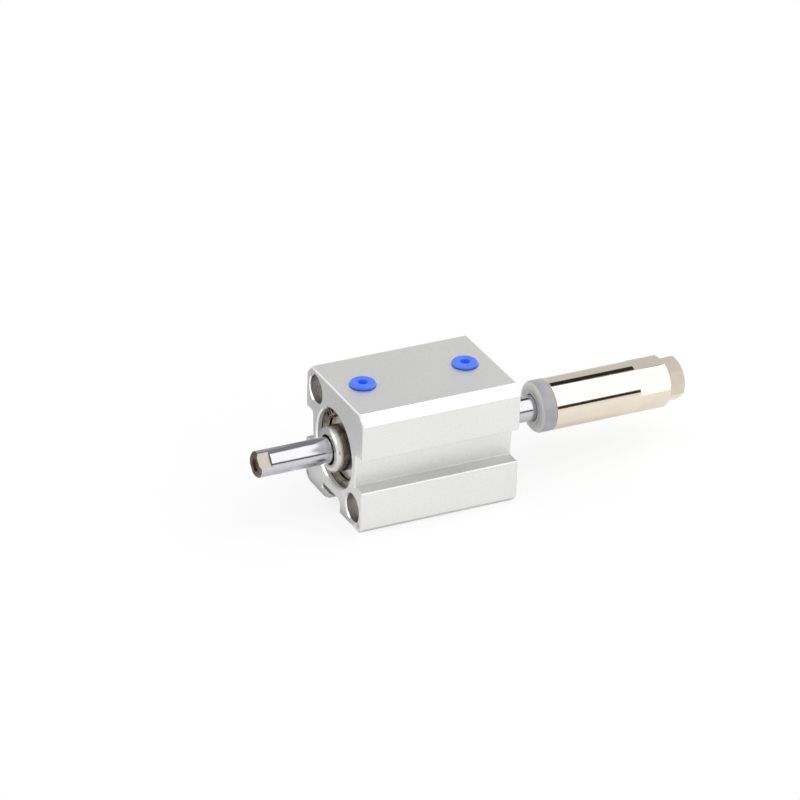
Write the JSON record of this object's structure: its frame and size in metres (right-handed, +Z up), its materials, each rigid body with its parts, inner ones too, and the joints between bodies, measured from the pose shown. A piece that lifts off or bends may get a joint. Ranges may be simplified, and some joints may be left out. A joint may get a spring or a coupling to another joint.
{
  "type": "compact pneumatic cylinder",
  "caption": "Compact pneumatic cylinder with a square extruded body, a tapped through rod and, behind it, a screw-adjusted stroke stop with a soft bumper and a lock nut.",
  "frame": {"origin": "on the base plane, under the middle of the whole cylinder's box at its mid-stroke rest pose", "axes": "+X along the rod from the tapped rod end to the stroke adjuster, +Z up through the ports, +Y to the side with the sensor rail"},
  "size_m": [0.1062, 0.029, 0.0298],
  "materials": {
    "anodised_barrel": "fine satin, clear anodised, drawn along the length",
    "cover_alloy": "turned, smooth satin",
    "hard_chrome": "ground and hard chromed, mirror bright",
    "nickel_steel": "turned and nickel plated, bright and slightly warm",
    "spring_steel": "oiled dark phosphate",
    "piston_alloy": "plain turned",
    "bush_bronze": "sintered, oily matt",
    "seal_rubber": "matt black",
    "grey_urethane": "moulded, semi-matt grey",
    "blue_plug": "moulded soft plastic, satin"
  },
  "bodies": {
    "barrel": {"barrel": "anodised_barrel", "front_cover": "cover_alloy", "rear_cover": "cover_alloy", "front_cover_seal": "seal_rubber", "rear_cover_seal": "seal_rubber", "front_rod_seal": "seal_rubber", "rear_rod_seal": "seal_rubber", "front_bush": "bush_bronze", "rear_bush": "bush_bronze", "front_snap_ring": "spring_steel", "rear_snap_ring": "spring_steel", "front_stop_pad": "grey_urethane", "rear_stop_pad": "grey_urethane"},
    "piston_seal": {"piston_seal": "seal_rubber"},
    "rod": {"piston": "piston_alloy", "front_rod": "hard_chrome", "rear_rod": "hard_chrome"},
    "bumper": {"adjuster_bumper": "grey_urethane"},
    "sleeve": {"adjuster_sleeve": "nickel_steel"},
    "nut": {"lock_nut": "nickel_steel"},
    "front_plug": {"front_port_plug": "blue_plug"},
    "rear_plug": {"rear_port_plug": "blue_plug"}
  },
  "joints": [
    {"name": "rod_slide", "type": "slide", "parent": "barrel", "child": "piston_seal", "axis": [-1, 0, 0], "range_m": [-0.0136, 0.0064]},
    {"name": "rod_turn", "type": "hinge", "parent": "piston_seal", "child": "rod", "pos_m": [0, 0, 0.0145], "axis": [1, 0, 0], "continuous": true},
    {"name": "adjuster_travel", "type": "slide", "parent": "rod", "child": "bumper", "axis": [1, 0, 0], "range_m": [-0.00851, 0]},
    {"name": "adjuster_turn", "type": "hinge", "parent": "bumper", "child": "sleeve", "pos_m": [0, 0, 0.0145], "axis": [1, 0, 0], "range_deg": [-3060, 0]},
    {"name": "lock_nut_turn", "type": "hinge", "parent": "sleeve", "child": "nut", "pos_m": [0, 0, 0.0145], "axis": [1, 0, 0], "range_deg": [0, 90]},
    {"name": "front_plug_pull", "type": "slide", "parent": "barrel", "child": "front_plug", "axis": [0, 0, 1], "range_m": [0, 0.012]},
    {"name": "rear_plug_pull", "type": "slide", "parent": "barrel", "child": "rear_plug", "axis": [0, 0, 1], "range_m": [0, 0.012]}
  ],
  "couplings": [
    {"joint": "adjuster_travel", "follows": "adjuster_turn", "m_per_rad": 0.00015915}
  ]
}
